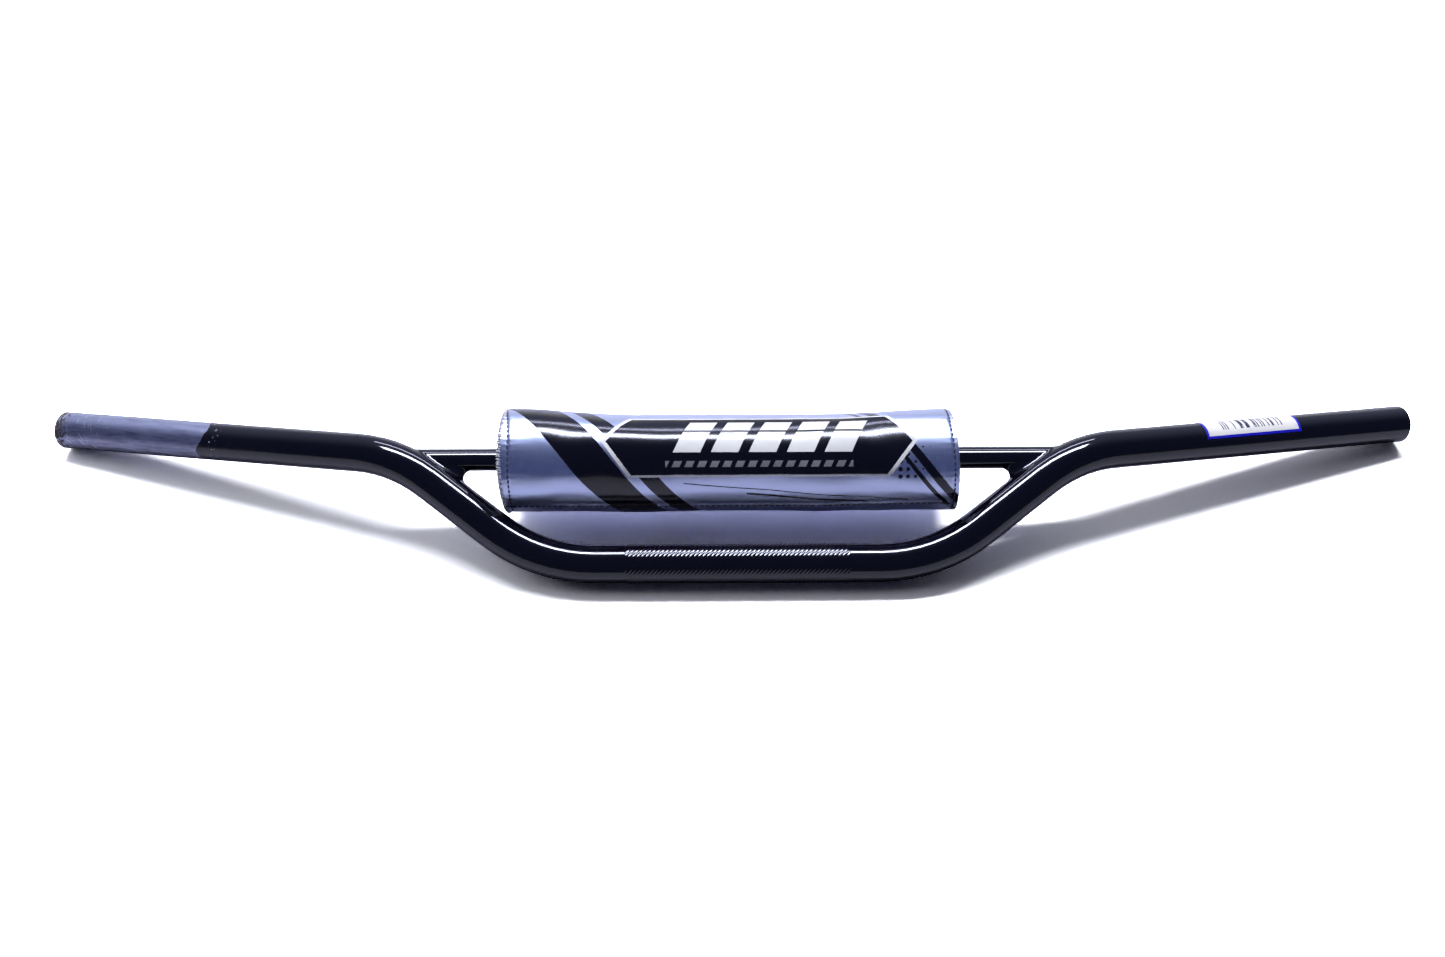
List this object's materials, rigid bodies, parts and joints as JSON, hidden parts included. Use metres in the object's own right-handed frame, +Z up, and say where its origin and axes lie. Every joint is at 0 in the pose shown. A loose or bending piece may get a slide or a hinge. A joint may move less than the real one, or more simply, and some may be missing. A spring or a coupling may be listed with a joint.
{
  "type": "motocross handlebar",
  "caption": "Bent steel tube handlebar with a welded crossbar and a sewn roll pad wrapped round it, black paint worn bare at one grip.",
  "frame": {"origin": "middle of the straight clamp section, on its axis", "axes": "+X along the clamp section towards the grip with the price label, +Y level towards the grip tips, +Z up from the table that the bar lies on"},
  "size_m": [0.825, 0.128, 0.0704],
  "materials": {
    "bar_paint": "gloss black paint over steel, worn to bare scratched steel at the left tip",
    "crossbar_paint": "gloss black paint",
    "weld_paint": "gloss black paint over a smooth weld",
    "pad_vinyl": "silver grey coated fabric with a printed black and white pattern",
    "pad_panel": "silver grey coated fabric with a white woven back",
    "pad_foam": "dark closed cell foam",
    "flap_fabric": "black woven nylon",
    "fastener_strip": "black hook and loop strip",
    "label_paper": "white coated paper with a blue border and plain bars"
  },
  "bodies": {
    "root": {"handlebar_tube": "bar_paint", "crossbar": "crossbar_paint", "weld_bead_left": "weld_paint", "weld_bead_right": "weld_paint", "pad_foam": "pad_foam", "pad_cover": "pad_vinyl", "pad_end_left": "pad_panel", "pad_end_right": "pad_panel", "closure_flap": "flap_fabric", "hook_strip": "fastener_strip", "loop_strip": "fastener_strip", "price_label": "label_paper"}
  },
  "joints": []
}
